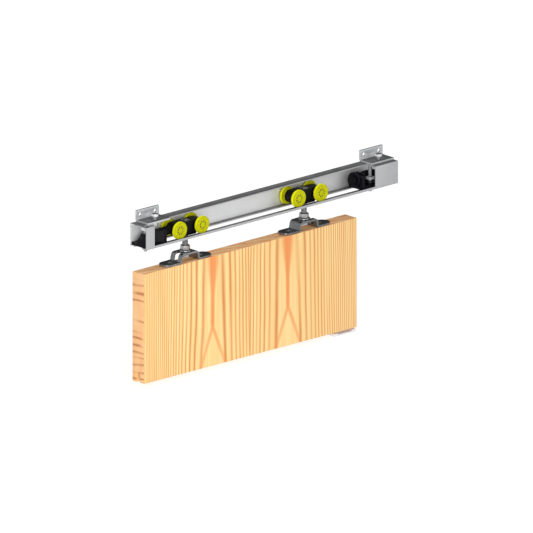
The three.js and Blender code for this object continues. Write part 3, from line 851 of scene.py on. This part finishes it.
plateLook = {
    "length": 134, "width": 32, "thickness": 4, "arch": 16.5,
    "footCorner": 24.2, "plateauCorner": 20.4, "bend": 3.2,     # where the strip folds, and how wide
    "spare": 4, "outlineGap": 0.02,     # the strip is made too long, and cut by the outline
    "slotHalf": 6.5, "slotEnd": 31,     # the slot runs out through the riser on its open side
    "slotFloor": 1,                     # the slot stops this far above the feet
    "screwAt": 43, "screwHole": 2.5, "sinkRadius": 4.9, "sinkFrom": 0.9, "sinkLip": 0.3,
    "edge": 0.55, "dissolve": 0.3, "slotSteps": 48, "sinkSteps": 40,
}


def stadiumShape(length, width, low, high, steps=64):
    straight = (length - width) / 2
    bm = blockShape((-straight, -width / 2, low), (straight, width / 2, high))
    for end in (-straight, straight):
        endDisc = prismShape(steps, width * math.cos(math.pi / steps), low, high)
        bm = joined(bm, moved(endDisc, (end * mm, 0, 0)), "UNION")
    return bm


def makeHanger(side):
    look = plateLook
    node = f"{side}_hanger_plate"
    half = look["length"] / 2 + look["spare"]
    arch, thick, slotHalf = look["arch"], look["thickness"], look["slotHalf"]
    top = arch + thick + past
    path = [
        (-half, 0), (-look["footCorner"], 0), (-look["plateauCorner"], arch),
        (look["plateauCorner"], arch), (look["footCorner"], 0), (half, 0),
    ]
    plate = foldedStrip(path, look["bend"], look["width"], thick)
    outline = stadiumShape(look["length"], look["width"] + look["outlineGap"], -past, top)
    plate = joined(plate, outline, "INTERSECT")
    openSide = -1 if side == "left" else 1        # the side that the bolt slides in from
    ends = sorted((0, openSide * look["slotEnd"]))
    slotLow = (ends[0], -slotHalf, thick + look["slotFloor"])
    plate = joined(plate, blockShape(slotLow, (ends[1], slotHalf, top)))
    plate = joined(plate, prismShape(look["slotSteps"], 2 * slotHalf, arch - past, top))
    for offset in (-look["screwAt"], look["screwAt"]):
        sink = spunShape([
            (0, -past), (look["screwHole"], -past), (look["screwHole"], look["sinkFrom"]),
            (look["sinkRadius"], thick - look["sinkLip"]), (look["sinkRadius"], thick + past),
            (0, thick + past),
        ], look["sinkSteps"])
        plate = joined(plate, moved(sink, (offset * mm, 0, 0)))
    # the rounded edges of the plate take the painted highlight finish
    softened(flattened(plate, look["dissolve"]), look["edge"], paintedHighlight=True)
    finishPiece(moved(plate, standing(node)[0]), node)


screwLook = {
    "head": 4.6, "headRim": ((0, 0.35), (0.1, 0.12), (0.5, 0)),     # steps in and down from the top
    "neck": 1.9, "neckFrom": 8, "neckTo": 2.8,                      # below the top
    "core": 1.35, "thread": 2.2, "threadEnd": 9, "pitch": 1.5, "tip": 4,
    "crestAt": 0.4, "rootAt": 0.8, "steps": 36,                     # both in pitches
    "cross": {"reach": 2.3, "half": 0.42, "depth": 1.9, "taper": 0.35, "turn": 0.5},
}


def makePlateScrews(side):
    # countersunk wood screws with a cross recess; their threads sit inside the panel
    look = screwLook
    cross = look["cross"]
    for letter in "ab":
        node = f"{side}_plate_screw_{letter}"
        foot, tall = standing(node)
        profile = [(0, 0), (look["core"], look["tip"])]
        height = look["tip"]
        while height < tall - look["threadEnd"]:
            profile += [(look["thread"], height + look["pitch"] * look["crestAt"]),
                        (look["core"], height + look["pitch"] * look["rootAt"])]
            height += look["pitch"]
        profile += [(look["neck"], tall - look["neckFrom"]), (look["neck"], tall - look["neckTo"])]
        profile += [(look["head"] - inset, tall - drop) for inset, drop in look["headRim"]]
        screw = spunShape(profile + [(0, tall)], look["steps"])
        for turn in (cross["turn"], cross["turn"] + math.pi / 2):
            wing = blockShape((-cross["reach"], -cross["half"], tall - cross["depth"]),
                              (cross["reach"], cross["half"], tall + past))
            for vert in wing.verts:
                if vert.co.z < tall * mm:
                    vert.co.x *= cross["taper"]
            bmesh.ops.rotate(wing, verts=wing.verts[:], cent=(0, 0, 0),
                             matrix=Matrix.Rotation(turn, 3, "Z"))
            screw = joined(screw, wing)
        finishPiece(moved(screw, foot), node)


bracketLook = {
    "bend": 5.6, "hole": 4.2, "holeSpacing": 42, "holeDrop": 10, "boltHole": 4.5,
    "thickness": 4, "corner": 1.5, "cornerSegments": 6, "near": 0.1, "edge": 0.4,
    "dissolve": 0.3, "holeSteps": 40, "boltHoleSteps": 36,
}


def makeBracket(side):
    look = bracketLook
    node = f"{side}_wall_bracket"
    low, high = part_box(node)
    length, deep, tall = sizeOf(node)
    thick, near = look["thickness"], look["near"]
    path = [(-deep, 0), (0, 0), (0, tall)]
    angle = foldedStrip(path, look["bend"], length, thick)
    # the strip runs along Y so far: turn it to run along X, with its folded leg on the wall
    bmesh.ops.rotate(angle, verts=angle.verts[:], cent=(0, 0, 0),
                     matrix=Matrix.Rotation(math.pi / 2, 3, "Z"))
    corners = [e for e in angle.edges if e.calc_length() < (thick + near) * mm
               and all(abs(abs(v.co.x) - length / 2 * mm) < closeness for v in e.verts)
               and (all(v.co.z > (tall - near) * mm for v in e.verts)
                    or all(v.co.y < (near - deep) * mm for v in e.verts))]
    bmesh.ops.bevel(
        angle, geom=corners, offset=look["corner"] * mm, segments=look["cornerSegments"],
        profile=0.5, affect="EDGES", clamp_overlap=True, material=-1,
    )
    for offset in (-look["holeSpacing"] / 2, look["holeSpacing"] / 2):
        hole = prismShape(look["holeSteps"], 2 * look["hole"], -2 * thick, 2 * thick)
        lie = Matrix.Rotation(math.pi / 2, 4, "X")
        spot = (offset * mm, -thick / 2 * mm, (tall - look["holeDrop"]) * mm)
        angle = joined(angle, moved(hole, spot, lie))
    boltHole = prismShape(look["boltHoleSteps"], 2 * look["boltHole"], -past, thick + past)
    boltY = middleOf(f"{side}_bracket_bolt").y
    angle = joined(angle, moved(boltHole, (0, boltY, 0)))
    softened(flattened(angle, look["dissolve"]), look["edge"])
    finishPiece(moved(angle, ((low.x + high.x) / 2, high.y, low.z)), node)


# End stops.

stopLook = {
    "edge": 0.7, "edgeAngle": 30, "steps": 56,
    "rim": 2.0, "rimSteps": 4, "peg": 4, "seatGap": 0.3, "foot": 0.4,
    "longBuffer": 12, "grooves": (0.3, 0.55), "groove": 0.7, "grooveHalf": (0.9, 0.4),
    "screwRadius": 4, "pitch": 1.25, "chamfer": 0.6, "socket": 4, "socketDepth": 5,
    "nutEdge": 0.7, "nutSegments": 3, "nutGap": 0.3, "nutLead": 0.7,
}


def bufferShape(radius, nose):
    # turned about Z: its peg is below the seat, and its rounded nose is at the top
    look = stopLook
    peg, rim, seat = look["peg"], look["rim"], look["seatGap"]
    profile = [(0, -peg), (peg, -peg), (peg, seat), (radius - look["foot"], seat),
               (radius, seat + look["foot"])]
    if nose > look["longBuffer"]:
        # shallow grooves go round the long buffer
        outer, inner = look["grooveHalf"]
        deep = radius - look["groove"]
        for share in look["grooves"]:
            place = nose * share
            profile += [(radius, place - outer), (deep, place - inner),
                        (deep, place + inner), (radius, place + outer)]
    for i in range(look["rimSteps"] + 1):
        bend = math.pi / 2 * i / look["rimSteps"]
        profile.append((radius - rim + rim * math.cos(bend), nose - rim + rim * math.sin(bend)))
    return spunShape(profile + [(0, nose)], look["steps"])


def makeStop(side):
    look = stopLook
    node = f"{side}_stop_body"
    finishPiece(softened(copyOf(node), look["edge"], angle=look["edgeAngle"]), node)

    # the buffer points along the track, with its peg in the stop
    node = f"{side}_stop_buffer"
    length, wide, _ = sizeOf(node)
    low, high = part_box(node)
    inward = 1 if side == "left" else -1
    seat = low.x + look["peg"] * mm if inward > 0 else high.x - look["peg"] * mm
    spot = middleOf(node)
    lie = Matrix.Rotation(inward * math.pi / 2, 4, "Y")
    buffer = bufferShape(wide / 2, length - look["peg"])
    finishPiece(moved(buffer, (seat, spot.y, spot.z), lie), node)

    node = f"{side}_stop_clamp_screw"
    foot, tall = standing(node)
    screw = threadedRod(look["screwRadius"], look["pitch"], 0, tall, look["chamfer"])
    screw = joined(screw, prismShape(6, look["socket"], -past, look["socketDepth"]))
    finishPiece(moved(screw, foot), node)

    for level in ("upper", "lower"):
        node = f"{side}_stop_{level}_nut"
        foot, tall = standing(node)
        half = sizeOf(node).x / 2
        nut = softened(blockShape((-half, -half, 0), (half, half, tall)), look["nutEdge"],
                       look["nutSegments"])
        nut = joined(nut, boreCutter(look["screwRadius"] + look["nutGap"], 0, tall, look["nutLead"]))
        finishPiece(moved(nut, foot), node)


# Track, trolley bodies, door panel and floor guide keep their frame shape, with softer edges.

edgeLook = {
    "track_rail": 0.35, "door_panel": 0.9, "floor_guide": 0.6,
    "trolley": 0.9, "trolleySegments": 3, "trolleyAngle": 30,
}


def makeBodies():
    for node in ("track_rail", "door_panel", "floor_guide"):
        finishPiece(softened(copyOf(node), edgeLook[node]), node)
    for side in sides:
        node = f"{side}_trolley_body"
        body = softened(copyOf(node), edgeLook["trolley"], edgeLook["trolleySegments"],
                        edgeLook["trolleyAngle"])
        finishPiece(body, node)


makeBodies()
print("track, door and trolley bodies made")
for side in sides:
    makeFasteners(side)
    makeWheels(side)
    print(side, "fasteners and wheels made")
    makeHanger(side)
    makePlateScrews(side)
    makeBracket(side)
    makeStop(side)
    print(side, "plate, bracket and stop made")


# Floor, light and camera.

roomLook = {
    "floorSize": 8, "floorDrop": 0.0006, "floorColour": (0.4, 0.4, 0.4), "floorGlow": 0.76,
    "floorRough": 0.9, "floorGloss": 0.1, "white": (1.0, 1.0, 1.0),
    "brightSide": (-0.682, -0.731),     # the lit side of the room, seen from above
    "dim": 0.08, "bright": 0.59, "overhead": 0.82,
    "wallEdge": (-0.62, 0.2), "ceilingEdge": (0.62, 0.25),
    "key": {"place": (-1.3, -1.5, 0.3), "size": 0.8, "power": 12.3},
    "fill": {"place": (0.9, -1.7, 0.4), "size": 1.2, "power": 3},
}


def makeRoom():
    bm = bmesh.new()
    bmesh.ops.create_grid(bm, x_segments=1, y_segments=1, size=roomLook["floorSize"] / 2)
    bmesh.ops.translate(bm, vec=(0, 0, cadLow.z - roomLook["floorDrop"]), verts=bm.verts[:])
    mesh = bpy.data.meshes.new("floor")
    bm.to_mesh(mesh)
    bm.free()
    floor = bpy.data.objects.new("floor", mesh)
    bpy.context.scene.collection.objects.link(floor)
    floor.visible_glossy = False
    f = newFinish("floor_paint")
    mesh.materials.append(f.surface({
        "Base Color": roomLook["floorColour"], "Roughness": roomLook["floorRough"],
        "Specular IOR Level": roomLook["floorGloss"],
        "Emission Color": roomLook["white"], "Emission Strength": roomLook["floorGlow"],
    }))

    world = bpy.data.worlds.new("studio")
    bpy.context.scene.world = world
    f = Finish(world)
    direction = f.node("ShaderNodeTexCoord")["Generated"]
    x, y, z = f.parts(direction)
    # light comes from a bright front and a soft ceiling; what the camera sees directly is white
    sideX, sideY = roomLook["brightSide"]
    lit = (x * sideX + y * sideY).above(*roomLook["wallEdge"])
    ceiling = z.above(*roomLook["ceilingEdge"])
    walls = roomLook["dim"] + lit * (roomLook["bright"] - roomLook["dim"])
    sky = walls * (1 - ceiling) + ceiling * roomLook["overhead"]
    backdrop = f.node("ShaderNodeLightPath")["Is Camera Ray"]
    seen = sky * (1 - backdrop) + backdrop
    light = f.node("ShaderNodeBackground", {}, {"Color": roomLook["white"], "Strength": seen})
    f.node("ShaderNodeOutputWorld", {}, {"Surface": light["Background"]})

    target = (cadLow + cadHigh) / 2
    for name in ("key", "fill"):
        look = roomLook[name]
        lamp = bpy.data.lights.new(name, "AREA")
        lamp.shape = "DISK"
        lamp.size = look["size"]
        lamp.energy = look["power"]
        made = bpy.data.objects.new(name, lamp)
        bpy.context.scene.collection.objects.link(made)
        made.location = look["place"]
        made.rotation_mode = "QUATERNION"
        made.rotation_quaternion = (target - made.location).to_track_quat("-Z", "Y")


cameraLook = {"azimuth": -43.0, "elevation": 16.745, "span": 1.0927, "shift": (0.0069, 0, -0.0006),
              "distance": 3}


def makeCamera():
    look = cameraLook
    a, e = math.radians(look["azimuth"]), math.radians(look["elevation"])
    back = Vector((math.sin(a) * math.cos(e), -math.cos(a) * math.cos(e), math.sin(e)))
    camera = bpy.data.cameras.new("camera")
    camera.type = "ORTHO"
    camera.ortho_scale = look["span"]
    made = bpy.data.objects.new("camera", camera)
    bpy.context.scene.collection.objects.link(made)
    made.rotation_mode = "QUATERNION"
    made.rotation_quaternion = (-back).to_track_quat("-Z", "Y")
    made.location = (cadLow + cadHigh) / 2 + Vector(look["shift"]) + back * look["distance"]
    bpy.context.scene.camera = made


makeRoom()
makeCamera()
bpy.context.scene.view_settings.view_transform = "Standard"
print("floor, light and camera made")
